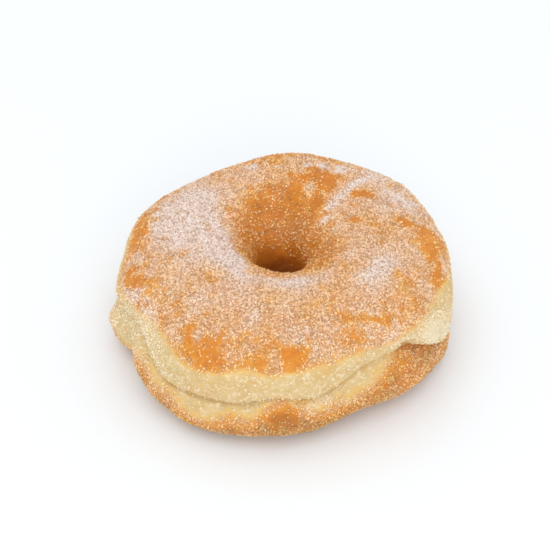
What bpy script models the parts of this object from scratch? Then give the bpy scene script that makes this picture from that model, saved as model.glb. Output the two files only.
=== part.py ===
"""A ring doughnut of raised dough, fried on both sides and rolled in sugar.

The ring is one solid. It starts as a torus, and every ring of points is moved
onto a cross-section worked out from the sizes below. An upper lobe hangs over a
crease that runs all the way round, and a lower lobe stands on a flat foot.

Azimuths are in degrees: 0 is +X, the right-hand side, 90 is +Y, the back, 180 is
the left-hand side and 270 is -Y, the front. Sizes are in millimetres, and the
mesh is made in metres, standing on Z = 0.
"""

import math

import bpy
from mathutils import Vector, noise

# Driving dimensions, in millimetres
HALF_WIDTH = 46.0
HALF_DEPTH = 43.5
HEIGHT = 36.0
HOLE_RADIUS = 7.0
HOLE_CENTRE = (-0.6, 3.2)
THROAT_HEIGHT = 19.0
CREASE_HEIGHT = 15.0
CREASE_DEPTH = 1.7
BELLY_RISE = 5.0
LOWER_BELLY_SHARE = 0.55
FOOT_INSET = 9.0
HOLE_FOOT_INSET = 8.0
CREST_SHARE = 0.42

# How full each rounded stretch of the section is: 2 is an ellipse, more is squarer
SHOULDER_FULLNESS = 2.3
FUNNEL_FULLNESS = 2.1
BORE_FULLNESS = 2.0
HEEL_FULLNESS = 2.1
CREASE_FULLNESS = 1.7

# Points around the ring, and along each stretch of the section
AROUND = 112
SHOULDER_ROWS = 9
FUNNEL_ROWS = 9
BORE_ROWS = 6
FOOT_ROWS = 3
HEEL_ROWS = 5
UNDER_CREASE_ROWS = 4
OVER_CREASE_ROWS = 4
ROWS = (SHOULDER_ROWS + FUNNEL_ROWS + BORE_ROWS + FOOT_ROWS + HEEL_ROWS
        + UNDER_CREASE_ROWS + OVER_CREASE_ROWS)
ARC_STEPS = 32

# Swells: azimuth, half-width in degrees, and amount at the middle
UPPER_OUTLINE_SWELLS = {
    "right back shoulder": (46.0, 26.0, 3.0),
    "back": (80.0, 16.0, 0.8),
    "back left cut": (124.0, 20.0, -1.5),
    "back left corner": (150.0, 12.0, 1.2),
    "left flat": (175.0, 12.0, -1.6),
    "left set back": (208.0, 14.0, -2.6),
    "front left corner": (236.0, 14.0, 0.8),
    "front right flat": (298.0, 22.0, -3.6),
    "right bulge": (343.0, 13.0, 0.8),
}
LOWER_OUTLINE_SWELLS = {
    "right back shoulder": (42.0, 26.0, 1.6),
    "back left cut": (122.0, 20.0, -1.4),
    "left bulge": (187.0, 10.0, 1.8),
    "left notch": (199.0, 8.0, -2.4),
    "front left corner": (234.0, 16.0, 1.7),
    "front right flat": (297.0, 20.0, -3.4),
    "right heel": (346.0, 12.0, 0.8),
}
CREASE_HEIGHT_SWELLS = {
    "left rise": (203.0, 13.0, 6.8),
    "front left dip": (226.0, 9.0, -1.2),
    "front rise": (267.0, 10.0, 3.4),
    "front right rise": (311.0, 20.0, 8.6),
    "right sag": (345.0, 12.0, -5.5),
    "back rise": (95.0, 40.0, 2.0),
}
SHOULDER_SWELLS = {
    "left slope": (212.0, 16.0, -0.35),
}
CREASE_DEPTH_SWELLS = {
    "right notch": (322.0, 12.0, 1.8),
    "left lip": (200.0, 18.0, 0.6),
}
TOP_HEIGHT_SWELLS = {
    "back left slope": (135.0, 35.0, -1.6),
    "front right slope": (300.0, 30.0, -0.8),
    "left slope": (200.0, 20.0, -0.8),
}
CREST_SWELLS = {
    "wide funnel behind": (98.0, 36.0, 0.18),
    "right ridge": (40.0, 20.0, -0.05),
}
FUNNEL_SWELLS = {
    "near lip": (270.0, 50.0, -0.1),
    "open slope behind": (98.0, 36.0, -0.5),
    "right ridge": (42.0, 20.0, 0.4),
}

# Uneven dough: lump size and height, and the seed that places them
LUMP_SIZE = 17.0
LUMP_HEIGHT = 0.9
LUMP_SEED = Vector((3.1, 7.7, 1.9))
FOOT_CLEARANCE = 5.0

MM = 0.001
COLLECTION_NAME = "sugar_doughnut"
PART_NAME = "doughnut"
DOUGH_COLOUR = (0.74, 0.35, 0.10, 1.0)
DOUGH_ROUGHNESS = 0.5


def clear_scene():
    """Remove whatever the file opened with."""
    for thing in list(bpy.data.objects):
        bpy.data.objects.remove(thing, do_unlink=True)


def swell(azimuth, swells):
    """Add up the named swells at one azimuth, each a smooth hump."""
    total = 0.0
    for middle, half_width, amount in swells.values():
        away = (azimuth - middle + 180.0) % 360.0 - 180.0
        total += amount * math.exp(-((away / half_width) ** 2))
    return total


def oval(azimuth):
    """Radius of the plain oval outline at an azimuth."""
    angle = math.radians(azimuth)
    across = math.cos(angle) / HALF_WIDTH
    along = math.sin(angle) / HALF_DEPTH
    return 1.0 / math.hypot(across, along)


def rounded(start, end, fullness, upright_first):
    """Curve from start to end, upright at one end and level at the other."""
    points = []
    for step in range(ARC_STEPS + 1):
        turn = 0.5 * math.pi * step / ARC_STEPS
        lead = math.cos(turn) ** (2.0 / fullness)
        trail = math.sin(turn) ** (2.0 / fullness)
        if upright_first:
            radius = end[0] + (start[0] - end[0]) * lead
            height = start[1] + (end[1] - start[1]) * trail
        else:
            radius = start[0] + (end[0] - start[0]) * trail
            height = end[1] + (start[1] - end[1]) * lead
        points.append((radius, height))
    return points


def spaced(points, count):
    """Take count points at even distances along a curve, without its last one."""
    lengths = [0.0]
    for first, second in zip(points, points[1:]):
        lengths.append(lengths[-1] + math.dist(first, second))
    picked = []
    piece = 0
    for step in range(count):
        wanted = lengths[-1] * step / count
        while lengths[piece + 1] < wanted:
            piece += 1
        share = (wanted - lengths[piece]) / (lengths[piece + 1] - lengths[piece])
        first, second = points[piece], points[piece + 1]
        picked.append((first[0] + (second[0] - first[0]) * share,
                       first[1] + (second[1] - first[1]) * share))
    return picked


def section(azimuth):
    """Cross-section at an azimuth as (radius, height), from the belly upwards and round."""
    upper = oval(azimuth) + swell(azimuth, UPPER_OUTLINE_SWELLS)
    lower = oval(azimuth) + swell(azimuth, LOWER_OUTLINE_SWELLS)
    crease_height = CREASE_HEIGHT + swell(azimuth, CREASE_HEIGHT_SWELLS)
    top = HEIGHT + swell(azimuth, TOP_HEIGHT_SWELLS)
    share = CREST_SHARE + swell(azimuth, CREST_SWELLS)
    funnel = FUNNEL_FULLNESS + swell(azimuth, FUNNEL_SWELLS)
    shoulder = SHOULDER_FULLNESS + swell(azimuth, SHOULDER_SWELLS)
    depth = CREASE_DEPTH + swell(azimuth, CREASE_DEPTH_SWELLS)

    belly = (upper, crease_height + BELLY_RISE)
    crest = (HOLE_RADIUS + share * (upper - HOLE_RADIUS), top)
    throat = (HOLE_RADIUS, THROAT_HEIGHT)
    inner_foot = (HOLE_RADIUS + HOLE_FOOT_INSET, 0.0)
    outer_foot = (lower - FOOT_INSET, 0.0)
    lower_belly = (lower, crease_height * LOWER_BELLY_SHARE)
    crease = (min(upper, lower) - depth, crease_height)

    outline = []
    outline += spaced(rounded(belly, crest, shoulder, True), SHOULDER_ROWS)
    outline += spaced(rounded(crest, throat, funnel, False), FUNNEL_ROWS)
    outline += spaced(rounded(throat, inner_foot, BORE_FULLNESS, True), BORE_ROWS)
    outline += spaced([inner_foot, outer_foot], FOOT_ROWS)
    outline += spaced(rounded(outer_foot, lower_belly, HEEL_FULLNESS, False), HEEL_ROWS)
    outline += spaced(rounded(lower_belly, crease, CREASE_FULLNESS, True), UNDER_CREASE_ROWS)
    outline += spaced(rounded(crease, belly, CREASE_FULLNESS, False), OVER_CREASE_ROWS)
    return upper, outline


def placed(azimuth, upper, radius, height):
    """Point of the section in space: it leans from the hole's centre to the outline's."""
    angle = math.radians(azimuth)
    reach = (radius - HOLE_RADIUS) / (upper - HOLE_RADIUS)
    lean = 1.0 - min(max(reach, 0.0), 1.0)
    return Vector((HOLE_CENTRE[0] * lean + radius * math.cos(angle),
                   HOLE_CENTRE[1] * lean + radius * math.sin(angle),
                   height))


def make_doughnut():
    """Bend a torus into the ring, with its lobes, crease, funnel and foot."""
    bpy.ops.mesh.primitive_torus_add(
        major_segments=AROUND, minor_segments=ROWS,
        major_radius=0.5 * (HALF_WIDTH + HOLE_RADIUS) * MM,
        minor_radius=0.5 * (HALF_WIDTH - HOLE_RADIUS) * MM)
    doughnut = bpy.context.active_object
    doughnut.name = PART_NAME
    mesh = doughnut.data
    mesh.name = PART_NAME
    for station in range(AROUND):
        azimuth = 360.0 * station / AROUND
        upper, outline = section(azimuth)
        for row, (radius, height) in enumerate(outline):
            vertex = mesh.vertices[station * ROWS + row]
            vertex.co = placed(azimuth, upper, radius, height) * MM
    mesh.update()
    add_lumps(mesh)
    mesh.shade_smooth()
    return doughnut


def add_lumps(mesh):
    """Push the surface gently in and out, less and less towards the flat foot."""
    pushes = []
    for vertex in mesh.vertices:
        place = vertex.co / MM
        lump = noise.noise(place / LUMP_SIZE + LUMP_SEED)
        hold = min(max(place.z / FOOT_CLEARANCE, 0.0), 1.0)
        pushes.append(vertex.normal * (lump * hold * LUMP_HEIGHT * MM))
    for vertex, push in zip(mesh.vertices, pushes):
        vertex.co += push
    mesh.update()


def centre_on_base(doughnut):
    """Put the middle of the bounding box over the origin, standing on Z = 0."""
    places = [vertex.co for vertex in doughnut.data.vertices]
    low = Vector((min(place[axis] for place in places) for axis in range(3)))
    high = Vector((max(place[axis] for place in places) for axis in range(3)))
    middle = 0.5 * (low + high)
    shift = Vector((-middle.x, -middle.y, -low.z))
    for vertex in doughnut.data.vertices:
        vertex.co += shift
    doughnut.data.update()


def make_dough_material():
    """Browned crust, the colour of the fried dough between the sugar."""
    material = bpy.data.materials.new("fried_dough")
    material.use_nodes = True
    shader = material.node_tree.nodes["Principled BSDF"]
    shader.inputs["Base Color"].default_value = DOUGH_COLOUR
    shader.inputs["Roughness"].default_value = DOUGH_ROUGHNESS
    shader.inputs["Metallic"].default_value = 0.0
    return material


def main():
    """Model the doughnut in a collection of its own."""
    clear_scene()
    doughnut = make_doughnut()
    centre_on_base(doughnut)
    doughnut.data.materials.append(make_dough_material())
    collection = bpy.data.collections.new(COLLECTION_NAME)
    bpy.context.scene.collection.children.link(collection)
    for owner in list(doughnut.users_collection):
        owner.objects.unlink(doughnut)
    collection.objects.link(doughnut)


main()
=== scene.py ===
"""Looks of a ring doughnut of raised dough, browned on both sides and rolled in sugar.

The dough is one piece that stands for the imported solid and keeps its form. The sugar is
five pieces, one for each kind of crystal, joined into meshes from arrays. Sizes are in
millimetres and are turned into metres where a mesh is made. Azimuths are in degrees: 0 is
+X, the right-hand side, 90 the back, 180 the left-hand side and 270 the front. A distance
along the section runs from 0 at the belly over the top, through the hole and under the
foot back to 40, as the stretches say.
"""

import logging
import math
from dataclasses import dataclass, field
from enum import Enum

import bmesh
import bpy
import numpy as np
from bmesh.types import BMesh
from bpy.types import Material, Mesh, NodeSocket, Object
from mathutils import Matrix, Vector, noise


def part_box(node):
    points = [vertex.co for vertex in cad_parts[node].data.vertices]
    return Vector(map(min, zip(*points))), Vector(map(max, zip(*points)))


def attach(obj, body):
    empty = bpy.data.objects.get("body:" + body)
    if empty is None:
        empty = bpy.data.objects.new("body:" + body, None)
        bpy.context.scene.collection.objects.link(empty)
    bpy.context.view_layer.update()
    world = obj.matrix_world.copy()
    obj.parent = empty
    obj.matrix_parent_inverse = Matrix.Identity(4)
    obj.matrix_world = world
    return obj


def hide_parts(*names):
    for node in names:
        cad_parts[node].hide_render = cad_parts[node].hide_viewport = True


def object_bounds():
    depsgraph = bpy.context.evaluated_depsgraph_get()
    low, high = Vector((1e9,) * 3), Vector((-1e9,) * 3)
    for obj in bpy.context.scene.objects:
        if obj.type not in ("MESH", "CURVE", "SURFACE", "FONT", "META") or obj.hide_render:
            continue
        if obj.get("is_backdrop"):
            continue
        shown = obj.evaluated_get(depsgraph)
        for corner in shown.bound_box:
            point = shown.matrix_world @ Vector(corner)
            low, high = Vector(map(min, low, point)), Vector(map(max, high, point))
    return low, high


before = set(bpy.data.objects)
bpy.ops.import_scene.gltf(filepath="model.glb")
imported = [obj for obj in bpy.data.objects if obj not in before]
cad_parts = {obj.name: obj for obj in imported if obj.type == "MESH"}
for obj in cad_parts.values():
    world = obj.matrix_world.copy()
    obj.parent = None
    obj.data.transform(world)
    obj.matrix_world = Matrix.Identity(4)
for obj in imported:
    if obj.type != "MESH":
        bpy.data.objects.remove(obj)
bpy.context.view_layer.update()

LOG = logging.getLogger("doughnut")
MM = 0.001
NODE = "doughnut"
BODY = "root"
# The plain ring that is spun first, before its points are laid on the form.
RING_RADIUS = 1.0
TUBE_RADIUS = 0.5
# Keeps a face without area from being divided by nothing.
SPECK = 1e-12

Colour = tuple[float, float, float, float]
Point = tuple[float, float]
Array = np.ndarray
Numbers = float | Array


def linear(red: int, green: int, blue: int) -> Colour:
    """Turn a colour given as 0 to 255 into the linear values that shaders use.

    Args:
        red: Red, 0 to 255.
        green: Green, 0 to 255.
        blue: Blue, 0 to 255.

    Returns:
        The linear colour, with an alpha of 1.
    """
    shares = [channel / 255.0 for channel in (red, green, blue)]
    bright = [share / 12.92 if share <= 0.04045 else ((share + 0.055) / 1.055) ** 2.4
              for share in shares]
    return (bright[0], bright[1], bright[2], 1.0)


def turned(azimuth: Numbers, middle: float) -> Numbers:
    """Angle from a middle azimuth to each azimuth, between -180 and 180 degrees."""
    return (azimuth - middle + 180.0) % 360.0 - 180.0


def hump(away: Numbers, reach: float) -> Numbers:
    """Smooth hump, 1 in its middle and about a third at its reach."""
    return np.exp(-((away / reach) ** 2))


def eased(values: Array, low: float, high: float) -> Array:
    """Step smoothly from 0 at low to 1 at high."""
    share = np.clip((values - low) / (high - low), 0.0, 1.0)
    return share * share * (3.0 - 2.0 * share)


def shown(name: str, data: bpy.types.ID) -> Object:
    """Put a mesh, a lamp or a camera into the scene as an object."""
    item = bpy.data.objects.new(name, data)
    bpy.context.scene.collection.objects.link(item)
    return item


def points_of(mesh: Mesh) -> Array:
    """Read the points of a mesh, one row each."""
    places = np.empty(len(mesh.vertices) * 3, np.float32)
    mesh.vertices.foreach_get("co", places)
    return places.reshape(-1, 3)


def carry(mesh: Mesh, name: str, values: Array) -> None:
    """Store a number at each point of a mesh, where its material reads it."""
    attribute = mesh.attributes.new(name, "FLOAT", "POINT")
    attribute.data.foreach_set("value", values.astype(np.float32))


@dataclass(frozen=True)
class Swell:
    """A smooth hump of a size over a stretch of azimuth."""

    azimuth: float
    half_width: float
    amount: float

    def at(self, azimuth: Numbers) -> Numbers:
        """Amount that this swell adds at an azimuth."""
        return self.amount * hump(turned(azimuth, self.azimuth), self.half_width)


Swells = tuple[Swell, ...]


def swollen(base: float, swells: Swells, azimuth: Numbers) -> Numbers:
    """Size at each azimuth: a base size with its swells added."""
    return base + sum(swell.at(azimuth) for swell in swells)


class Stretch(Enum):
    """Stretches of the section, each with the place where it starts along the section."""

    SHOULDER = 0
    FUNNEL = 9
    BORE = 18
    FOOT = 24
    HEEL = 27
    UNDER_CREASE = 32
    OVER_CREASE = 36
    END = 40


@dataclass(frozen=True)
class RingForm:
    """Form of the dough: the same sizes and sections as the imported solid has."""

    half_width: float = 46.0
    half_depth: float = 43.5
    height: float = 36.0
    hole_radius: float = 7.0
    hole_centre: Point = (-0.6, 3.2)
    throat_height: float = 19.0
    crease_height: float = 15.0
    crease_depth: float = 1.7
    belly_rise: float = 5.0
    lower_belly_share: float = 0.55
    foot_inset: float = 9.0
    hole_foot_inset: float = 8.0
    crest_share: float = 0.42
    shoulder_fullness: float = 2.3
    funnel_fullness: float = 2.1
    bore_fullness: float = 2.0
    heel_fullness: float = 2.1
    crease_fullness: float = 1.7
    lump_size: float = 17.0
    lump_height: float = 0.9
    lump_seed: Vector = field(default_factory=lambda: Vector((3.1, 7.7, 1.9)))
    foot_clearance: float = 5.0
    arc_steps: int = 32
    upper_outline: Swells = (
        Swell(46, 26, 3), Swell(80, 16, 0.8), Swell(124, 20, -1.5), Swell(150, 12, 1.2),
        Swell(175, 12, -1.6), Swell(208, 14, -2.6), Swell(236, 14, 0.8), Swell(298, 22, -3.6),
        Swell(343, 13, 0.8),
    )
    lower_outline: Swells = (
        Swell(42, 26, 1.6), Swell(122, 20, -1.4), Swell(187, 10, 1.8), Swell(199, 8, -2.4),
        Swell(234, 16, 1.7), Swell(297, 20, -3.4), Swell(346, 12, 0.8),
    )
    crease_heights: Swells = (
        Swell(203, 13, 6.8), Swell(226, 9, -1.2), Swell(267, 10, 3.4), Swell(311, 20, 8.6),
        Swell(345, 12, -5.5), Swell(95, 40, 2),
    )
    shoulders: Swells = (Swell(212, 16, -0.35),)
    crease_depths: Swells = (Swell(322, 12, 1.8), Swell(200, 18, 0.6))
    tops: Swells = (Swell(135, 35, -1.6), Swell(300, 30, -0.8), Swell(200, 20, -0.8))
    crests: Swells = (Swell(98, 36, 0.18), Swell(40, 20, -0.05))
    funnels: Swells = (Swell(270, 50, -0.1), Swell(98, 36, -0.5), Swell(42, 20, 0.4))

    def oval(self, azimuth: float) -> float:
        """Radius of the plain oval outline at an azimuth."""
        angle = math.radians(azimuth)
        across, along = math.cos(angle) / self.half_width, math.sin(angle) / self.half_depth
        return 1.0 / math.hypot(across, along)

    def rounded(self, start: Point, end: Point, fullness: float,
                upright_first: bool) -> list[Point]:
        """Curve from start to end, upright at one end and level at the other.

        Args:
            start: First point, as radius and height.
            end: Last point.
            fullness: 2 for an ellipse, more for a squarer corner.
            upright_first: Whether the curve is upright at its start.

        Returns:
            The points of the curve.
        """
        points = []
        for step in range(self.arc_steps + 1):
            turn = 0.5 * math.pi * step / self.arc_steps
            lead = math.cos(turn) ** (2.0 / fullness)
            trail = math.sin(turn) ** (2.0 / fullness)
            if upright_first:
                radius = end[0] + (start[0] - end[0]) * lead
                height = start[1] + (end[1] - start[1]) * trail
            else:
                radius = start[0] + (end[0] - start[0]) * trail
                height = end[1] + (start[1] - end[1]) * lead
            points.append((radius, height))
        return points

    def section(self, azimuth: float, fineness: int) -> Array:
        """Cross-section at an azimuth, from the belly upwards and round.

        Args:
            azimuth: Where the ring is cut.
            fineness: Points for each unit of distance along the section.

        Returns:
            The points in space, one row each.
        """
        upper = self.oval(azimuth) + swollen(0.0, self.upper_outline, azimuth)
        lower = self.oval(azimuth) + swollen(0.0, self.lower_outline, azimuth)
        crease_height = swollen(self.crease_height, self.crease_heights, azimuth)
        shoulder = swollen(self.shoulder_fullness, self.shoulders, azimuth)
        funnel = swollen(self.funnel_fullness, self.funnels, azimuth)
        share = swollen(self.crest_share, self.crests, azimuth)
        belly = (upper, crease_height + self.belly_rise)
        crest = (self.hole_radius + share * (upper - self.hole_radius),
                 swollen(self.height, self.tops, azimuth))
        throat = (self.hole_radius, self.throat_height)
        inner_foot = (self.hole_radius + self.hole_foot_inset, 0.0)
        outer_foot = (lower - self.foot_inset, 0.0)
        lower_belly = (lower, crease_height * self.lower_belly_share)
        crease = (min(upper, lower) - swollen(self.crease_depth, self.crease_depths, azimuth),
                  crease_height)
        curves = (
            self.rounded(belly, crest, shoulder, True),
            self.rounded(crest, throat, funnel, False),
            self.rounded(throat, inner_foot, self.bore_fullness, True),
            [inner_foot, outer_foot],
            self.rounded(outer_foot, lower_belly, self.heel_fullness, False),
            self.rounded(lower_belly, crease, self.crease_fullness, True),
            self.rounded(crease, belly, self.crease_fullness, False),
        )
        starts = [stretch.value for stretch in Stretch]
        rows = [(last - first) * fineness for first, last in zip(starts, starts[1:])]
        flat = np.concatenate([evenly(curve, count) for curve, count in zip(curves, rows)])
        return self.placed(azimuth, upper, flat)

    def placed(self, azimuth: float, upper: float, flat: Array) -> Array:
        """Stand a section up in space, leaning from the hole's centre to the outline's.

        Args:
            azimuth: Where the ring is cut.
            upper: Radius of the upper lobe there.
            flat: Radius and height of each point.

        Returns:
            The points in space.
        """
        angle = math.radians(azimuth)
        out = (flat[:, 0] - self.hole_radius) / (upper - self.hole_radius)
        lean = 1.0 - np.clip(out, 0.0, 1.0)
        across = self.hole_centre[0] * lean + flat[:, 0] * math.cos(angle)
        along = self.hole_centre[1] * lean + flat[:, 0] * math.sin(angle)
        return np.column_stack((across, along, flat[:, 1]))

    def lump(self, place: Vector) -> float:
        """Height of the large, soft unevenness of the dough at a place, in millimetres."""
        hold = min(max(place.z / self.foot_clearance, 0.0), 1.0)
        return noise.noise(place / self.lump_size + self.lump_seed) * hold * self.lump_height


def evenly(points: list[Point], count: int) -> Array:
    """Take count points at even distances along a curve, without its last one.

    Args:
        points: The curve.
        count: How many points to take.

    Returns:
        The points taken, one row each.
    """
    curve = np.array(points)
    lengths = np.concatenate(([0.0], np.cumsum(np.linalg.norm(np.diff(curve, axis=0), axis=1))))
    wanted = lengths[-1] * np.arange(count) / count
    return np.column_stack([np.interp(wanted, lengths, curve[:, axis]) for axis in (0, 1)])


@dataclass(frozen=True)
class Spot:
    """A soft-edged place on the surface: azimuth, distance along the section, and its reach."""

    azimuth: float
    along: float
    half_turn: float
    half_along: float
    amount: float

    def at(self, azimuth: Array, along: Array) -> Array:
        """Amount of this spot at each point of the surface."""
        total = float(Stretch.END.value)
        step = (along - self.along + 0.5 * total) % total - 0.5 * total
        turn = turned(azimuth, self.azimuth)
        return self.amount * np.exp(-((turn / self.half_turn) ** 2 + (step / self.half_along) ** 2))


Spots = tuple[Spot, ...]


def spotted(base: Array, spots: Spots, azimuth: Array, along: Array) -> Array:
    """Add spots to a value that runs over the surface."""
    return base + sum(spot.at(azimuth, along) for spot in spots)


@dataclass(frozen=True)
class Unevenness:
    """Noise on the points of a mesh: its blotches' size, its strength and a shift."""

    size: float
    amount: float
    shift: float = 0.0

    def at(self, places: Array) -> Array:
        """Noise at points in millimetres, about as far below 0 as above it."""
        moved = places / self.size + self.shift
        return np.array([noise.noise(Vector(place)) for place in moved]) * self.amount


@dataclass(frozen=True)
class Surface:
    """Where every point of the dough is, and what the fry and the sugar did to it."""

    azimuth: Array
    along: Array
    places: Array
    # Browning; past 1 it also carries painted shade on the lower lobe.
    browning: Array
    sugar: Array
    dust: Array


class Value:
    """A number in a shader, which Python's operators turn into Math nodes."""

    def __init__(self, graph: "Graph", socket: NodeSocket) -> None:
        """Wrap a socket of a graph."""
        self.graph = graph
        self.socket = socket

    def combined(self, operation: str, first: object, second: object) -> "Value":
        """Add a Math node for an operation on two numbers or Values."""
        node = self.graph.node("ShaderNodeMath", {"operation": operation}, {0: first, 1: second})
        return Value(self.graph, node.outputs[0])

    def __add__(self, other: object) -> "Value":
        """Add a number."""
        return self.combined("ADD", self, other)

    __radd__ = __add__

    def __sub__(self, other: object) -> "Value":
        """Take a number away."""
        return self.combined("SUBTRACT", self, other)

    def __rsub__(self, other: object) -> "Value":
        """Take this value away from a number."""
        return self.combined("SUBTRACT", other, self)

    def __mul__(self, other: object) -> "Value":
        """Multiply by a number."""
        return self.combined("MULTIPLY", self, other)

    __rmul__ = __mul__

    def stepped(self, low: float, high: float) -> "Value":
        """Step smoothly from 0 at low to 1 at high."""
        node = self.graph.node("ShaderNodeMapRange", {"interpolation_type": "SMOOTHSTEP"},
                               {"Value": self, "From Min": low, "From Max": high})
        return Value(self.graph, node.outputs["Result"])


@dataclass(frozen=True)
class Mottle:
    """Noise in a shader: its blotches' size, its finer octaves, their strength and a shift."""

    size: float
    detail: float = 3.0
    roughness: float = 0.5
    shift: float = 0.0


@dataclass(frozen=True)
class Patches:
    """Patches cut from noise: the values where they begin and are full, and their strength."""

    mottle: Mottle
    edge: Point
    amount: float = 1.0

    def over(self, graph: "Graph") -> Value:
        """How much of the patches there is at each place."""
        return graph.mottle(self.mottle).stepped(*self.edge) * self.amount


class Graph:
    """A material's nodes, added one at a time."""

    def __init__(self, name: str) -> None:
        """Start a material with an empty graph."""
        self.material = bpy.data.materials.new(name)
        self.material.use_nodes = True
        self.tree = self.material.node_tree
        self.tree.nodes.clear()
        self.place = self.node("ShaderNodeTexCoord", {}, {}).outputs["Object"]

    def node(self, kind: str, settings: dict[str, object],
             inputs: dict[object, object]) -> bpy.types.Node:
        """Add a node, set it, and fill or link its inputs.

        Args:
            kind: The node's type.
            settings: Its properties, and a ramp's stops under the name stops.
            inputs: Values, sockets or Values by input name or number.

        Returns:
            The node.
        """
        node = self.tree.nodes.new(kind)
        for name, setting in settings.items():
            if name == "stops":
                self.set_stops(node.color_ramp, setting)
            else:
                setattr(node, name, setting)
        for name, value in inputs.items():
            if isinstance(value, Value):
                self.tree.links.new(value.socket, node.inputs[name])
            elif isinstance(value, NodeSocket):
                self.tree.links.new(value, node.inputs[name])
            else:
                node.inputs[name].default_value = value
        return node

    @staticmethod
    def set_stops(ramp: bpy.types.ColorRamp, stops: list[tuple[float, Colour]]) -> None:
        """Give a ramp its stops.

        Args:
            ramp: The ramp.
            stops: Place and colour of each stop, in order.
        """
        while len(ramp.elements) < len(stops):
            ramp.elements.new(0.5)
        for element, (place, colour) in zip(ramp.elements, stops):
            element.position = place
            element.color = colour

    def attribute(self, name: str) -> Value:
        """Read a number that the mesh carries at its points."""
        node = self.node("ShaderNodeAttribute", {"attribute_name": name}, {})
        return Value(self, node.outputs["Fac"])

    def mottle(self, mottle: Mottle) -> Value:
        """Noise over the surface, about 0.5 in the middle."""
        moved = self.node("ShaderNodeMapping", {}, {
            "Vector": self.place, "Location": (mottle.shift, mottle.shift, mottle.shift)})
        node = self.node("ShaderNodeTexNoise", {}, {
            "Vector": moved.outputs["Vector"], "Scale": 1.0 / (mottle.size * MM),
            "Detail": mottle.detail, "Roughness": mottle.roughness})
        return Value(self, node.outputs["Fac"])

    def scattered(self, size: float) -> bpy.types.Node:
        """Pattern of cells round scattered points, a size in millimetres apart."""
        scale = 1.0 / (size * MM)
        return self.node("ShaderNodeTexVoronoi", {}, {"Vector": self.place, "Scale": scale})

    def cells(self, size: float) -> Value:
        """Distance to the nearest scattered point, as a share of their distance apart."""
        return Value(self, self.scattered(size).outputs["Distance"])

    def chance(self, size: float) -> Value:
        """A chance number from 0 to 1 for each cell, the same all over it."""
        cell_colour = self.scattered(size).outputs["Color"]
        parts = self.node("ShaderNodeSeparateColor", {}, {"Color": cell_colour})
        return Value(self, parts.outputs["Red"])

    def mixed(self, share: Value, first: object, second: object,
              blend: str = "MIX") -> NodeSocket:
        """Mix two colours.

        Args:
            share: How much of the second colour there is.
            first: A colour or a socket.
            second: A colour or a socket.
            blend: How the second colour goes onto the first.

        Returns:
            The mixed colour's socket.
        """
        settings = {"data_type": "RGBA", "blend_type": blend}
        node = self.node("ShaderNodeMix", settings, {"Factor": share, 6: first, 7: second})
        return node.outputs[2]

    def tinted(self, share: Value, colour: object, tint: Colour) -> NodeSocket:
        """Multiply a colour by a share of a tint."""
        return self.mixed(share, colour, tint, "MULTIPLY")

    def ramp(self, value: Value, *colours: Colour) -> NodeSocket:
        """Turn a number from 0 to 1 into colours at even distances."""
        stops = [(step / (len(colours) - 1), colour) for step, colour in enumerate(colours)]
        return self.node("ShaderNodeValToRGB", {"stops": stops}, {"Fac": value}).outputs["Color"]

    def bumped(self, height: Value, depth: float, strength: float) -> NodeSocket:
        """Normal of a fine relief, its depth in millimetres."""
        node = self.node("ShaderNodeBump", {}, {
            "Height": height, "Distance": depth * MM, "Strength": strength})
        return node.outputs["Normal"]

    def finished(self, inputs: dict[object, object]) -> Material:
        """Close the graph with a Principled shader.

        Args:
            inputs: The shader's inputs.

        Returns:
            The material.
        """
        shader = self.node("ShaderNodeBsdfPrincipled", {}, inputs)
        self.node("ShaderNodeOutputMaterial", {}, {"Surface": shader.outputs["BSDF"]})
        return self.material


@dataclass(frozen=True)
class Gilding:
    """Yellower patches, which run on from the dough over the sugar."""

    tint: Colour = (1.0, 0.94, 0.66, 1.0)
    patches: Patches = Patches(Mottle(9.0, 3.0, 0.6, 0.17), (0.42, 0.62))

    def over(self, graph: Graph, colour: object) -> NodeSocket:
        """Tint a colour in the patches."""
        return graph.tinted(self.patches.over(graph), colour, self.tint)


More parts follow.
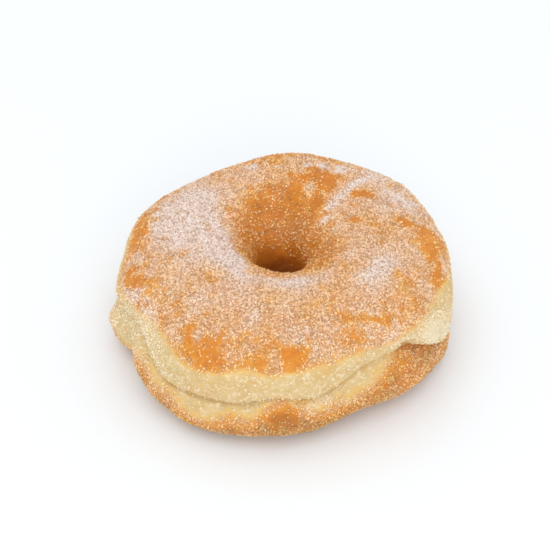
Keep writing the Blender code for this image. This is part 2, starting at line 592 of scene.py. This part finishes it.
@dataclass(frozen=True)
class DoughFinish:
    """Colours and relief of the fried dough, from its pale waist to its browned crust."""

    pale: Colour = linear(206, 175, 119)
    pale_light: Colour = linear(214, 187, 136)
    light_patches: Patches = Patches(Mottle(3.5, 3.0, 0.5, 0.09), (0.35, 0.65))
    pale_warm: Colour = linear(214, 170, 100)
    warm_patches: Patches = Patches(Mottle(6.0, 4.0, 0.6, 0.21), (0.5, 0.72), 0.55)
    pale_dust: Colour = linear(238, 222, 190)
    dusty_patches: Patches = Patches(Mottle(1.1, 4.0, 0.7, 0.13), (0.5, 0.66), 0.7)
    toasted: Colour = linear(222, 182, 106)
    toast: Point = (0.18, 0.52)
    crust: Point = (0.38, 0.80)
    ragged: Mottle = Mottle(2.4, 5.0, 0.65)
    raggedness: float = 0.65
    golden: Colour = linear(219, 157, 62)
    brown: Colour = linear(207, 125, 31)
    dark_brown: Colour = linear(180, 104, 34)
    base_tone: float = 0.36
    blotches: Mottle = Mottle(7.0, 3.0, 0.55, 0.02)
    blotch_tone: float = 1.2
    speckles: Mottle = Mottle(1.6, 3.0, 0.7, 0.05)
    speckle_tone: float = 1.1
    # Past a browning of 1 the crust turns towards dark brown: partly deeper browning, partly
    # painted shade on the lower lobe and near the hole.
    browner_and_shade_from: Point = (1.0, 1.4)
    browner_and_shade_tone: float = 0.4
    film_size: float = 0.42
    # Painted light and shade in the fine sugar film: dark cells are painted shadow between its
    # grains, light cells are painted light on their tops.
    film_painted_shadow: Colour = linear(174, 123, 76)
    film_painted_light: Colour = linear(252, 197, 130)
    haze_painted_shadow: Colour = linear(184, 146, 122)
    haze_painted_light: Colour = linear(244, 224, 210)
    film_cover: float = 1.6
    gilding: Gilding = Gilding()
    # Painted shade: where the browning passes 1.2, mostly on the lower lobe under the crease and a
    # little near the hole, the colour is multiplied by this greyish tint.
    painted_shade_from: Point = (1.2, 1.5)
    painted_shade_tint: Colour = (0.88, 0.92, 0.80, 1.0)
    crust_roughness: float = 0.45
    pale_roughness: float = 0.65
    dusty_roughness: float = 0.2
    specular: float = 0.25
    pore_size: float = 0.9
    pore_share: float = 0.5
    grain: Mottle = Mottle(0.5, 2.0, 0.6)
    grain_share: float = 0.5
    ripple: Mottle = Mottle(3.0, 2.0, 0.5)
    ripple_share: float = 0.8
    relief_depth: float = 0.10
    relief_strength: float = 0.6
    subsurface: float = 0.12
    subsurface_reach: float = 1.6
    subsurface_spread: tuple[float, float, float] = (1.0, 0.45, 0.2)

    def material(self) -> Material:
        """Make the material, which reads browning and dust from the mesh."""
        graph = Graph("fried_dough")
        dust = graph.attribute("dust")
        # Browning from the mesh; past 1 it also carries painted shade on the lower lobe.
        fried = graph.attribute("browning")
        browned = fried + (graph.mottle(self.ragged) - 0.5) * self.raggedness
        crust = browned.stepped(*self.crust)
        dough = graph.mixed(crust, self.waist(graph, browned), self.browned_crust(graph, fried))
        cover = dust * (self.film_cover - dust * (self.film_cover - 1.0))
        colour = graph.mixed(cover, dough, self.film(graph, dust, crust))
        relief = (graph.cells(self.pore_size) * self.pore_share
                  + graph.mottle(self.grain) * self.grain_share
                  + graph.mottle(self.ripple) * self.ripple_share)
        return graph.finished({
            # Painted shade is multiplied into the colour on the lower lobe and near the hole.
            "Base Color": graph.tinted(fried.stepped(*self.painted_shade_from), colour, self.painted_shade_tint),
            "Roughness": (self.pale_roughness - crust * (self.pale_roughness - self.crust_roughness)
                          + dust * self.dusty_roughness),
            "Normal": graph.bumped(relief, self.relief_depth, self.relief_strength),
            "Specular IOR Level": self.specular,
            "Subsurface Weight": self.subsurface,
            "Subsurface Radius": self.subsurface_spread,
            "Subsurface Scale": self.subsurface_reach * MM,
        })

    def waist(self, graph: Graph, browned: Value) -> NodeSocket:
        """Colour of the pale waist, toasted where the browning begins.

        Args:
            graph: The material's graph.
            browned: The browning, with its ragged edge.

        Returns:
            The colour's socket.
        """
        colour = self.pale
        for patches, patch_colour in ((self.light_patches, self.pale_light),
                                      (self.warm_patches, self.pale_warm),
                                      (self.dusty_patches, self.pale_dust)):
            colour = graph.mixed(patches.over(graph), colour, patch_colour)
        return graph.mixed(browned.stepped(*self.toast), colour, self.toasted)

    def browned_crust(self, graph: Graph, fried: Value) -> NodeSocket:
        """Colour of the browned crust, blotched and speckled, darkest past 1: partly deeper
        browning, partly painted shade.
        """
        # The last term darkens the crust past a browning of 1, partly deeper browning and partly
        # painted shade.
        tone = ((graph.mottle(self.blotches) - 0.5) * self.blotch_tone
                + (graph.mottle(self.speckles) - 0.5) * self.speckle_tone
                + self.base_tone + fried.stepped(*self.browner_and_shade_from) * self.browner_and_shade_tone)
        return graph.ramp(tone, self.golden, self.brown, self.dark_brown)

    def film(self, graph: Graph, dust: Value, crust: Value) -> NodeSocket:
        """Colour of the sugar that is too fine for crystals, stippled with painted shadow between
        its grains and painted light on their tops.

        Args:
            graph: The material's graph.
            dust: How thick it lies.
            crust: How much of the ground is crust.

        Returns:
            The colour's socket.
        """
        # Cells of painted shadow between grains and of painted light on grain tops, picked by
        # chance.
        chance = graph.chance(self.film_size)
        thin = graph.mixed(chance, self.film_painted_shadow, self.film_painted_light)
        thick = graph.mixed(chance, self.haze_painted_shadow, self.haze_painted_light)
        film = self.gilding.over(graph, graph.mixed(dust, thin, thick))
        return graph.mixed(crust, self.pale_dust, film)


@dataclass(frozen=True)
class SugarFinish:
    """Look of the crystals: clear ones take on the colour of what is under them, and painted shade
    darkens those on the lower lobe.
    """

    clear: Colour = linear(255, 222, 172)
    peach: Colour = linear(248, 191, 124)
    amber: Colour = linear(190, 139, 90)
    hazy_clear: Colour = linear(255, 244, 238)
    hazy: Colour = linear(245, 224, 212)
    hazy_dark: Colour = linear(198, 162, 138)
    cream: Colour = linear(254, 243, 216)
    straw: Colour = linear(242, 220, 178)
    gilding: Gilding = Gilding()
    # Painted shade: where the ground's browning passes 1.2, mostly on the lower lobe under the
    # crease, the crystals are multiplied by this greyish tint.
    painted_shade_from: Point = (1.2, 1.5)
    painted_shade_tint: Colour = (0.67, 0.70, 0.64, 1.0)
    roughness: float = 0.3
    refraction: float = 1.54

    def material(self) -> Material:
        """Make the material, which reads each crystal's tint, haze and ground from the mesh."""
        graph = Graph("sugar_crystals")
        tint = graph.attribute("tint")
        # The ground's browning; past 1.2 it drives the painted shade below.
        browned = graph.attribute("crust")
        warm = self.gilding.over(graph, graph.ramp(tint, self.clear, self.peach, self.amber))
        hazy = graph.ramp(tint, self.hazy_clear, self.hazy, self.hazy_dark)
        on_crust = graph.mixed(graph.attribute("haze"), warm, hazy)
        # Painted shade on crystals on the lower lobe and near the hole.
        on_crust = graph.tinted(browned.stepped(*self.painted_shade_from), on_crust, self.painted_shade_tint)
        on_pale = graph.mixed(tint, self.cream, self.straw)
        return graph.finished({
            "Base Color": graph.mixed(browned, on_pale, on_crust),
            "Roughness": self.roughness,
            "IOR": self.refraction,
        })


@dataclass(frozen=True)
class FloorFinish:
    """Plain pale floor."""

    colour: Colour = (0.85, 0.888, 0.92, 1.0)
    roughness: float = 0.9
    specular: float = 0.1

    def material(self) -> Material:
        """Make the material."""
        return Graph("pale_floor").finished({
            "Base Color": self.colour, "Roughness": self.roughness,
            "Specular IOR Level": self.specular})


@dataclass
class Dough:
    """The ring of dough: its fine mesh, its browning and where the sugar clings."""

    form: RingForm = field(default_factory=RingForm)
    finish: DoughFinish = field(default_factory=DoughFinish)
    stations: int = 448
    fineness: int = 4
    sugar_room: float = 0.24
    wrinkles: Unevenness = Unevenness(5.5, 0.22)
    crumples: Unevenness = Unevenness(2.2, 0.10)
    crease_cut: float = 0.5
    crease_reach: float = 0.5
    lip_rise: float = 0.35
    lip_along: float = 37.5
    lip_reach: float = 0.8
    crust_edge: float = 27.6
    crust_edges: Swells = (
        Swell(320, 14, 2.1), Swell(240, 9, -2.4), Swell(190, 6, -1.6), Swell(5, 14, -3),
        Swell(50, 12, -1.8), Swell(88, 15, 1.4), Swell(138, 14, -2.2),
    )
    crust_reach: float = 4.0
    lower_edge: float = 12.0
    lower_edges: Swells = (
        Swell(195, 8, -5), Swell(213, 9, 2.5), Swell(240, 9, -2.4), Swell(270, 9, 6.5),
        Swell(290, 5, 1), Swell(317, 13, 12), Swell(332, 10, 5), Swell(352, 12, 4),
        Swell(40, 16, 3), Swell(85, 12, -2), Swell(120, 10, 3.5), Swell(146, 6, 5),
        Swell(165, 9, -1.5),
    )
    lower_reach: float = 9.0
    lower_browning: float = 0.9
    lower_brownings: Swells = (Swell(258, 38, 0.12), Swell(322, 12, -0.05))
    wrapped_edges: Swells = (Swell(354, 13, 16),)
    wrapped_reach: float = 12.0
    ragged: Unevenness = Unevenness(6.0, 0.2, 4.0)
    crusted_from: Point = (0.3, 0.7)
    funnel_from: Point = (10.0, 13.0)
    bore_from: Point = (15.5, 17.5)
    funnel_browning: float = 0.16
    bore_paling: float = 0.9
    top_from: Point = (4.0, 8.0)
    top_browning: float = 0.10
    low_from: Point = (0.7, 1.1)
    # Extra browning on the lower lobe under the crease: partly the underside's deeper browning,
    # partly painted shade.
    low_browning_and_shade: float = 0.38
    bare_dark_from: Point = (0.2, 0.9)
    bare_browning: float = 0.15
    rim_bare: float = 0.24
    rim_along: float = 3.0
    rim_reach: float = 2.0
    bare_blotches: Unevenness = Unevenness(4.0, 0.55, 9.0)
    bare_flecks: Unevenness = Unevenness(1.7, 0.5, 3.0)
    bare_from: Point = (0.12, 0.85)
    bareness: float = 0.95
    clinging_from: Point = (0.38, 0.9)
    waist_sugar: float = 0.025
    top_sugar: float = 0.975
    funnel_loss: float = 0.67
    low_loss: float = 0.5
    bore_loss: float = 0.97
    sugar_patches: Unevenness = Unevenness(9.0, 0.35, 2.0)
    floor_gap: Point = (0.4, 1.4)
    dust_from: float = 0.15
    dustiness: float = 0.58
    least_dust: float = 0.05
    most_dust: float = 0.9
    bumps: Spots = (
        Spot(187, 33.2, 2.6, 1, 1.2), Spot(328.5, 38.9, 4.2, 1.7, 1.7), Spot(318.5, 38, 3, 1.7, -2),
        Spot(338, 38.4, 5.5, 1.8, 0.7), Spot(221.5, 32.4, 2.2, 1, 0.9),
        Spot(216, 32.8, 2, 1.2, -0.6), Spot(209, 33, 2.4, 1, 0.5),
    )
    bare_spots: Spots = (
        Spot(63, 8.9, 11.5, 1.3, 1.2), Spot(46.4, 8, 2.6, 1.8, -0.8),
        Spot(38.5, 7.5, 4.2, 0.8, 1.1), Spot(79, 11, 6, 1.6, 0.8), Spot(53, 11.7, 7, 1.4, 0.7),
        Spot(17, 9.8, 4, 0.7, 1), Spot(11, 5.9, 4, 0.6, 1), Spot(3, 4.3, 8, 1, 1),
        Spot(346, 3.9, 8, 0.9, 0.4), Spot(330, 3.4, 6, 0.8, 0.35), Spot(273, 2.5, 4, 1.1, 0.95),
        Spot(243, 2.8, 7.5, 0.9, 0.75), Spot(258, 2.4, 5, 0.8, 0.25), Spot(262, 4.8, 20, 1.2, 0.08),
        Spot(233, 4.2, 13, 1.4, 0.2), Spot(93, 5.2, 20, 1.8, 0.6), Spot(108, 4.6, 12, 1.2, 0.3),
        Spot(296, 2.6, 9, 0.7, 0.3), Spot(196, 2.4, 5, 1, 0.9), Spot(168, 3.8, 9, 1, 0.75),
        Spot(175, 3.2, 6, 0.6, 0.6), Spot(156, 4.6, 5, 0.6, 0.4), Spot(65, 5.4, 9, 0.5, 0.7),
        Spot(14, 14.5, 16, 1.7, 0.6), Spot(118, 12.5, 12, 1.2, 0.5), Spot(90, 12.5, 22, 2.2, 0.35),
        Spot(270, 33.2, 7, 1.8, 1), Spot(318, 33.6, 13, 2.2, 0.45), Spot(218, 34.5, 3, 1.6, 0.7),
    )
    heavy_spots: Spots = (
        Spot(165, 8.2, 28, 3, 1.1), Spot(189, 11.8, 26, 1.6, 0.9), Spot(220, 11.2, 24, 1.6, 1),
        Spot(211, 12.8, 11, 1.1, 0.7), Spot(268, 10.4, 36, 1.2, 0.5), Spot(258, 6.3, 5, 1.2, 0.5),
        Spot(332, 7.4, 14, 0.9, 0.8), Spot(47, 7, 2.3, 1.3, 1.1), Spot(44.3, 9.1, 2.3, 1, 1.1),
        Spot(41, 10.7, 3, 0.8, 1.1), Spot(31, 12.1, 5, 0.7, 1), Spot(8, 12.3, 17, 1.3, 0.55),
        Spot(34, 4.8, 22, 1.6, 0.55), Spot(105, 7.4, 4, 0.8, 0.8), Spot(93, 8.6, 3.5, 0.5, 0.6),
        Spot(76, 8, 2.5, 0.7, 1), Spot(69, 7.4, 3.5, 0.6, 0.9), Spot(60.5, 6.7, 3.5, 0.7, 0.8),
        Spot(210, 1.6, 14, 0.9, 0.6), Spot(334, 0.9, 9, 1.2, 0.9), Spot(312, 0.1, 14, 0.8, 0.3),
        Spot(212, 38.4, 10, 1.4, 0.25), Spot(262, 36.2, 9, 0.8, 0.3), Spot(283, 34.8, 5, 0.7, 0.9),
        Spot(213, 33.6, 12, 1.8, 0.25), Spot(196, 35.5, 7, 1.6, 0.35), Spot(187, 33.6, 5, 2, 0.3),
        Spot(328, 39.8, 3.6, 1.1, 1.3), Spot(333, 38.6, 3, 0.9, 0.8), Spot(341, 39.6, 4, 0.9, 0.7),
        Spot(314, 39.4, 4, 0.5, 0.5), Spot(222, 39.8, 8, 0.7, 0.3), Spot(205, 0.2, 10, 0.7, 0.5),
        Spot(63, 38, 10, 1.2, 0.5), Spot(128, 36.6, 12, 1, 0.5), Spot(96, 39.6, 9, 0.7, 0.4),
        Spot(158, 39.2, 8, 1, 0.5),
    )

    def build(self) -> tuple[Object, Surface]:
        """Make the dough.

        Returns:
            The piece, and what its surface is like at each point.
        """
        shell = self.spun()
        azimuth, along = self.coordinates(shell)
        places = self.formed(azimuth, along)
        surface = self.described(azimuth, along, places)
        self.move(shell, places)
        self.relieve(shell, surface)
        mesh = bpy.data.meshes.new("dough")
        shell.to_mesh(mesh)
        shell.free()
        self.settle(mesh)
        mesh.shade_smooth()
        carry(mesh, "browning", surface.browning)
        carry(mesh, "dust", surface.dust)
        mesh.materials.append(self.finish.material())
        return shown("dough", mesh), surface

    def spun(self) -> BMesh:
        """Spin a circle into the plain ring that the form is laid on."""
        shell = bmesh.new()
        rows = Stretch.END.value * self.fineness
        circle = bmesh.ops.create_circle(shell, cap_ends=False, radius=TUBE_RADIUS, segments=rows)
        upright = Matrix.Rotation(0.5 * math.pi, 4, "X")
        upright = Matrix.Translation((RING_RADIUS, 0.0, 0.0)) @ upright
        bmesh.ops.transform(shell, matrix=upright, verts=circle["verts"])
        bmesh.ops.spin(shell, geom=shell.verts[:] + shell.edges[:], cent=(0.0, 0.0, 0.0),
                       axis=(0.0, 0.0, 1.0), dvec=(0.0, 0.0, 0.0), angle=2.0 * math.pi,
                       steps=self.stations, use_merge=True, use_duplicate=False)
        shell.verts.ensure_lookup_table()
        return shell

    def coordinates(self, shell: BMesh) -> tuple[Array, Array]:
        """Find each point's azimuth and distance along the section on the plain ring.

        Args:
            shell: The plain ring.

        Returns:
            Azimuths in degrees, and distances along the section.
        """
        places = np.array([vertex.co for vertex in shell.verts])
        step = 360.0 / self.stations
        azimuth = np.degrees(np.arctan2(places[:, 1], places[:, 0]))
        azimuth = np.round(azimuth / step) % self.stations * step
        out = np.hypot(places[:, 0], places[:, 1]) - RING_RADIUS
        rows = Stretch.END.value * self.fineness
        row = np.round(np.degrees(np.arctan2(places[:, 2], out)) * rows / 360.0) % rows
        return azimuth, row / self.fineness

    def formed(self, azimuth: Array, along: Array) -> Array:
        """Work out where each point of the plain ring goes on the form.

        Args:
            azimuth: Azimuth of each point.
            along: Distance of each point along the section.

        Returns:
            The points in millimetres.
        """
        step = 360.0 / self.stations
        sections = np.array([self.form.section(station * step, self.fineness)
                             for station in range(self.stations)])
        station = np.round(azimuth / step).astype(int)
        row = np.round(along * self.fineness).astype(int)
        return sections[station, row]

    @staticmethod
    def move(shell: BMesh, places: Array) -> None:
        """Move the points of a mesh to places in millimetres, and turn its faces outwards."""
        for vertex, place in zip(shell.verts, places):
            vertex.co = Vector(place) * MM
        bmesh.ops.recalc_face_normals(shell, faces=shell.faces[:])
        shell.normal_update()

    def relieve(self, shell: BMesh, surface: Surface) -> None:
        """Push the surface in and out: lumps, wrinkles, crumples, the crease and single bumps.

        Args:
            shell: The formed ring.
            surface: What its surface is like.
        """
        lip = self.lip_rise * hump(surface.along - self.lip_along, self.lip_reach)
        cut = self.crease_cut * hump(surface.along - Stretch.OVER_CREASE.value, self.crease_reach)
        extra = spotted(lip - cut, self.bumps, surface.azimuth, surface.along)
        extra -= self.sugar_room * np.clip(surface.sugar, 0.0, 1.0)
        extra += self.wrinkles.at(surface.places)
        extra += self.crumples.at(surface.places)
        hold = np.clip(surface.places[:, 2] / self.form.foot_clearance, 0.0, 1.0)
        lumps = [self.form.lump(vertex.co / MM) for vertex in shell.verts]
        for vertex, height in zip(shell.verts, lumps + extra * hold):
            vertex.co += vertex.normal * (height * MM)
        shell.normal_update()

    @staticmethod
    def settle(mesh: Mesh) -> None:
        """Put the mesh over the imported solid: same middle, same plane to stand on."""
        low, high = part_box(NODE)
        places = points_of(mesh)
        own_low, own_high = places.min(axis=0), places.max(axis=0)
        wanted = np.array(low[:2]) + np.array(high[:2])
        places[:, :2] += 0.5 * (wanted - own_low[:2] - own_high[:2])
        places[:, 2] += low[2] - own_low[2]
        mesh.vertices.foreach_set("co", places.ravel())
        mesh.update()

    def described(self, azimuth: Array, along: Array, places: Array) -> Surface:
        """Say how browned each point is, how thick the sugar lies and how much dust there is.

        Args:
            azimuth: Azimuth of each point.
            along: Distance of each point along the section.
            places: The points in millimetres.

        Returns:
            The surface.
        """
        height = places[:, 2]
        outside_top = (along < Stretch.FUNNEL.value) | (along >= Stretch.OVER_CREASE.value)
        outside_low = (along >= Stretch.HEEL.value) & (along < Stretch.OVER_CREASE.value)
        above_foot = along < Stretch.FOOT.value
        in_funnel = eased(along, *self.funnel_from) * above_foot
        in_bore = eased(along, *self.bore_from) * above_foot
        crust_edge = swollen(self.crust_edge, self.crust_edges, azimuth)
        lower_edge = swollen(self.lower_edge, self.lower_edges, azimuth)
        wrapped_edge = swollen(0.0, self.wrapped_edges, azimuth)
        low_most = swollen(self.lower_browning, self.lower_brownings, azimuth)
        top = 0.5 + (height - crust_edge) / self.crust_reach
        low = 0.5 + (lower_edge - height) / self.lower_reach
        wrapped = 0.5 + (wrapped_edge - height) / self.wrapped_reach
        ragged = self.ragged.at(places)
        browning = np.where(outside_top, np.maximum(top, wrapped) + ragged,
                            np.where(outside_low, np.minimum(low, low_most) + ragged, 1.0))
        browning = np.clip(browning, 0.0, 1.0)
        crusted = eased(browning, *self.crusted_from)
        band = self.rim_bare * hump(along - self.rim_along, self.rim_reach)
        band = band + self.bare_blotches.at(places) + self.bare_flecks.at(places)
        bare = spotted(band, self.bare_spots, azimuth, along)
        browning += self.funnel_browning * in_funnel * (1.0 - self.bore_paling * in_bore)
        browning += self.top_browning * eased(along, *self.top_from) * above_foot
        # Lower lobe pushed past 1: partly deeper browning, partly painted shade.
        browning += self.low_browning_and_shade * outside_low * eased(low, *self.low_from)
        browning += (self.bare_browning * crusted * eased(bare, *self.bare_dark_from)
                     * (1.0 - outside_low))
        clinging = np.where(outside_top, eased(browning, *self.clinging_from), crusted)
        sugar = (self.waist_sugar + self.top_sugar * clinging - self.funnel_loss * in_funnel
                 - self.low_loss * outside_low * crusted)
        sugar = sugar * (1.0 + self.sugar_patches.at(places))
        sugar = spotted(sugar, self.heavy_spots, azimuth, along)
        sugar = sugar * (1.0 - self.bareness * eased(bare, *self.bare_from))
        sugar = sugar * (1.0 - self.bore_loss * in_bore)
        dust = np.clip((sugar - self.dust_from) * self.dustiness, self.least_dust * crusted,
                       self.most_dust)
        sugar = sugar * eased(height, *self.floor_gap)
        return Surface(azimuth, along, places, browning, sugar, dust)


class CrystalShape(Enum):
    """Shapes of crystal."""

    BRICK = "brick"
    SHARD = "shard"

    def cut(self) -> tuple[Array, Array]:
        """Cut one crystal of this shape, two units across.

        Returns:
            Its corners, and the corners of each face.
        """
        seed = bmesh.new()
        if self is CrystalShape.BRICK:
            bmesh.ops.create_cube(seed, size=2.0)
        else:
            bmesh.ops.create_uvsphere(seed, u_segments=4, v_segments=2, radius=1.0)
        seed.verts.index_update()
        corners = np.array([vertex.co for vertex in seed.verts])
        faces = np.array([[vertex.index for vertex in face.verts] for face in seed.faces])
        seed.free()
        return corners, faces


@dataclass(frozen=True)
class Crystal:
    """A kind of sugar crystal: its shape, how many there are, and how large they are."""

    name: str
    shape: CrystalShape
    count: int
    smallest: float
    largest: float
    seed: int


class CrystalKind(Enum):
    """The kinds of crystal in granulated sugar."""

    COARSE = Crystal("sugar_coarse", CrystalShape.BRICK, 7000, 0.40, 0.54, 11)
    MEDIUM = Crystal("sugar_medium", CrystalShape.BRICK, 16600, 0.31, 0.44, 23)
    SMALL = Crystal("sugar_small", CrystalShape.BRICK, 16600, 0.25, 0.36, 37)
    SHARDS = Crystal("sugar_shards", CrystalShape.SHARD, 24900, 0.26, 0.40, 53)
    FINE = Crystal("sugar_fine", CrystalShape.SHARD, 21700, 0.18, 0.28, 71)


@dataclass
class SugarCoat:
    """Crystals that cling to the dough, each a small uneven brick or shard."""

    finish: SugarFinish = field(default_factory=SugarFinish)
    clumps: Unevenness = Unevenness(2.6, 1.0)
    sunk: float = 0.28
    tilt: float = 0.45
    flatness: Point = (0.6, 1.0)
    skew: float = 0.16
    tint: Point = (0.0, 1.0)
    haze: Point = (0.28, 0.82)

    def build(self, dough: Object, surface: Surface) -> list[Object]:
        """Make one piece for each kind of crystal.

        Args:
            dough: The piece that they cling to.
            surface: What its surface is like.

        Returns:
            The pieces.
        """
        material = self.finish.material()
        ground = Ground(dough.data, surface, self.clumps)
        return [self.strewn(kind.value, ground, material) for kind in CrystalKind]

    def strewn(self, crystal: Crystal, ground: "Ground", material: Material) -> Object:
        """Strew one kind of crystal over the ground and join it into one mesh.

        Args:
            crystal: The kind.
            ground: Where it can lie.
            material: Its material.

        Returns:
            The piece.
        """
        draw = np.random.default_rng(crystal.seed)
        places, normals, browning, dust = ground.picked(crystal.count, draw)
        sizes = draw.uniform(crystal.smallest, crystal.largest, (crystal.count, 3)) * MM
        sizes[:, 2] *= draw.uniform(*self.flatness, crystal.count)
        outline, faces = crystal.shape.cut()
        skews = draw.uniform(-self.skew, self.skew, (crystal.count, len(outline), 3))
        corners = outline[None] * (1.0 + skews) * 0.5 * sizes[:, None, :]
        corners = np.einsum("nkj,nji->nki", corners, self.frames(normals, draw))
        centres = places + normals * (sizes[:, 2] * (0.5 - self.sunk))[:, None]
        piece = joined(crystal.name, corners + centres[:, None, :], faces)
        tint = draw.uniform(*self.tint, crystal.count)
        haze = np.clip((dust - self.haze[0]) / (self.haze[1] - self.haze[0]), 0.0, 1.0)
        for name, values in (("tint", tint), ("haze", haze), ("crust", browning)):
            carry(piece.data, name, np.repeat(values, len(outline)))
        piece.data.materials.append(material)
        return piece

    def frames(self, normals: Array, draw: np.random.Generator) -> Array:
        """Axes of each crystal: nearly flat on the surface, turned any way.

        Args:
            normals: Outward directions under the crystals.
            draw: The random draw.

        Returns:
            Three unit rows for each crystal.
        """
        up = normals + draw.normal(0.0, self.tilt, normals.shape)
        up /= np.linalg.norm(up, axis=1, keepdims=True)
        side = np.cross(up, draw.normal(0.0, 1.0, normals.shape))
        side /= np.linalg.norm(side, axis=1, keepdims=True)
        return np.stack((side, np.cross(up, side), up), axis=1)


def joined(name: str, corners: Array, faces: Array) -> Object:
    """Join many small shapes into one mesh.

    Args:
        name: The piece's name.
        corners: The corners of each shape, in metres.
        faces: The corners of each face of one shape.

    Returns:
        The piece.
    """
    count, width = corners.shape[0], corners.shape[1]
    indices = (np.arange(count)[:, None, None] * width + faces[None]).ravel()
    mesh = bpy.data.meshes.new(name)
    mesh.vertices.add(count * width)
    mesh.vertices.foreach_set("co", corners.astype(np.float32).ravel())
    mesh.loops.add(len(indices))
    mesh.loops.foreach_set("vertex_index", indices.astype(np.int32))
    mesh.polygons.add(count * len(faces))
    starts = np.arange(0, len(indices), faces.shape[1], dtype=np.int32)
    mesh.polygons.foreach_set("loop_start", starts)
    mesh.update(calc_edges=True)
    return shown(name, mesh)


class Ground:
    """The dough's faces as places for crystals, more likely where the sugar lies thick."""

    thinnest: float = 0.1

    def __init__(self, mesh: Mesh, surface: Surface, clumps: Unevenness) -> None:
        """Measure the faces.

        Args:
            mesh: The dough's mesh.
            surface: What it is like at each point.
            clumps: How uneven the coat is from clump to clump.
        """
        count = len(mesh.polygons)
        corners = np.empty(count * 4, np.int32)
        mesh.loops.foreach_get("vertex_index", corners)
        self.corners = self.in_order(corners.reshape(count, 4))
        self.places = points_of(mesh).astype(float)
        quads = self.places[self.corners]
        across = np.cross(quads[:, 2] - quads[:, 0], quads[:, 3] - quads[:, 1])
        area = 0.5 * np.linalg.norm(across, axis=1)
        self.normals = across / (2.0 * area[:, None] + SPECK)
        self.browning = surface.browning[self.corners].mean(axis=1)
        self.dust = surface.dust[self.corners].mean(axis=1)
        clumped = np.clip(1.0 + clumps.at(quads.mean(axis=1) / MM), self.thinnest, None)
        weight = area * surface.sugar[self.corners].mean(axis=1) * clumped
        self.chance = np.cumsum(weight) / weight.sum()

    @staticmethod
    def in_order(corners: Array) -> Array:
        """Bring faces into one order, because the spin gives them in another at each run.

        Args:
            corners: The corners of each face.

        Returns:
            The same faces, sorted, each from its lowest corner on.
        """
        turn = corners.argmin(axis=1)[:, None] + np.arange(4)
        corners = np.take_along_axis(corners, turn % 4, axis=1)
        return corners[np.lexsort(corners.T[::-1])]

    def picked(self, count: int, draw: np.random.Generator) -> tuple[Array, ...]:
        """Pick places by chance.

        Args:
            count: How many.
            draw: The random draw.

        Returns:
            Places in metres, outward directions, browning and dust.
        """
        chosen = np.searchsorted(self.chance, draw.random(count))
        chosen = np.minimum(chosen, len(self.corners) - 1)
        across, along = draw.random((2, count, 1))
        quads = self.places[self.corners[chosen]]
        lower = quads[:, 0] * (1.0 - across) + quads[:, 1] * across
        upper = quads[:, 3] * (1.0 - across) + quads[:, 2] * across
        places = lower * (1.0 - along) + upper * along
        return places, self.normals[chosen], self.browning[chosen], self.dust[chosen]


@dataclass(frozen=True)
class Softbox:
    """A large soft lamp: its place and size in millimetres, and its power in watts."""

    name: str
    place: tuple[float, float, float]
    size: float
    power: float

    def build(self) -> None:
        """Hang the lamp, turned towards the middle of the stage."""
        lamp = bpy.data.lights.new(self.name, "AREA")
        lamp.shape = "DISK"
        lamp.size = self.size * MM
        lamp.energy = self.power
        hung = shown(self.name, lamp)
        hung.location = Vector(self.place) * MM
        hung.rotation_mode = "QUATERNION"
        hung.rotation_quaternion = (-hung.location).to_track_quat("-Z", "Y")


@dataclass(frozen=True)
class Studio:
    """Plain floor, soft light all round, and the camera at the photograph's angle."""

    picture: int = 550
    elevation: float = 44.0
    distance: float = 380.0
    millimetres_per_pixel: float = 0.277
    aim_height: float = 16.0
    aim_pixel: Point = (280.5, 290.0)
    sensor: float = 36.0
    nearest: float = 10.0
    floor_size: float = 4000.0
    floor_gap: float = 0.1
    world_light: float = 0.92
    softboxes: tuple[Softbox, ...] = (
        Softbox("overhead", (-60.0, -120.0, 980.0), 900.0, 2.18),
        Softbox("front_fill", (80.0, -900.0, 380.0), 700.0, 2.1),
    )
    finish: FloorFinish = field(default_factory=FloorFinish)

    def build(self) -> None:
        """Set the stage."""
        self.lay_floor()
        self.light()
        self.place_camera()

    def lay_floor(self) -> None:
        """Lay the floor just under the part."""
        shell = bmesh.new()
        bmesh.ops.create_grid(shell, x_segments=1, y_segments=1, size=0.5 * self.floor_size * MM)
        mesh = bpy.data.meshes.new("floor")
        shell.to_mesh(mesh)
        shell.free()
        mesh.materials.append(self.finish.material())
        floor = shown("floor", mesh)
        floor.location.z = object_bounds()[0].z - self.floor_gap * MM
        floor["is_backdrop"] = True

    def light(self) -> None:
        """Light the stage from all round and from the softboxes."""
        world = bpy.data.worlds.new("soft_light")
        world.use_nodes = True
        background = world.node_tree.nodes["Background"]
        background.inputs["Color"].default_value = (1.0, 1.0, 1.0, 1.0)
        background.inputs["Strength"].default_value = self.world_light
        bpy.context.scene.world = world
        for softbox in self.softboxes:
            softbox.build()
        bpy.context.scene.view_settings.view_transform = "Standard"

    def place_camera(self) -> None:
        """Put the camera where the photograph was taken from."""
        tilt = math.radians(self.elevation)
        back = Vector((0.0, -math.cos(tilt), math.sin(tilt)))
        lens = bpy.data.cameras.new("camera")
        lens.sensor_width = self.sensor
        lens.lens = self.sensor * self.distance / (self.millimetres_per_pixel * self.picture)
        lens.shift_x = (0.5 * self.picture - self.aim_pixel[0]) / self.picture
        lens.shift_y = (self.aim_pixel[1] - 0.5 * self.picture) / self.picture
        lens.clip_start = self.nearest * MM
        camera = shown("camera", lens)
        camera.location = (Vector((0.0, 0.0, self.aim_height)) + back * self.distance) * MM
        camera.rotation_mode = "QUATERNION"
        camera.rotation_quaternion = (-back).to_track_quat("-Z", "Y")
        bpy.context.scene.camera = camera


def main() -> None:
    """Build the doughnut, its sugar and the stage."""
    logging.basicConfig(level=logging.INFO, format="%(message)s")
    dough, surface = Dough().build()
    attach(dough, BODY)
    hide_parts(NODE)
    LOG.info("%s: %d faces", dough.name, len(dough.data.polygons))
    for piece in SugarCoat().build(dough, surface):
        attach(piece, BODY)
        LOG.info("%s: %d faces", piece.name, len(piece.data.polygons))
    Studio().build()


if __name__ == "__main__":
    main()
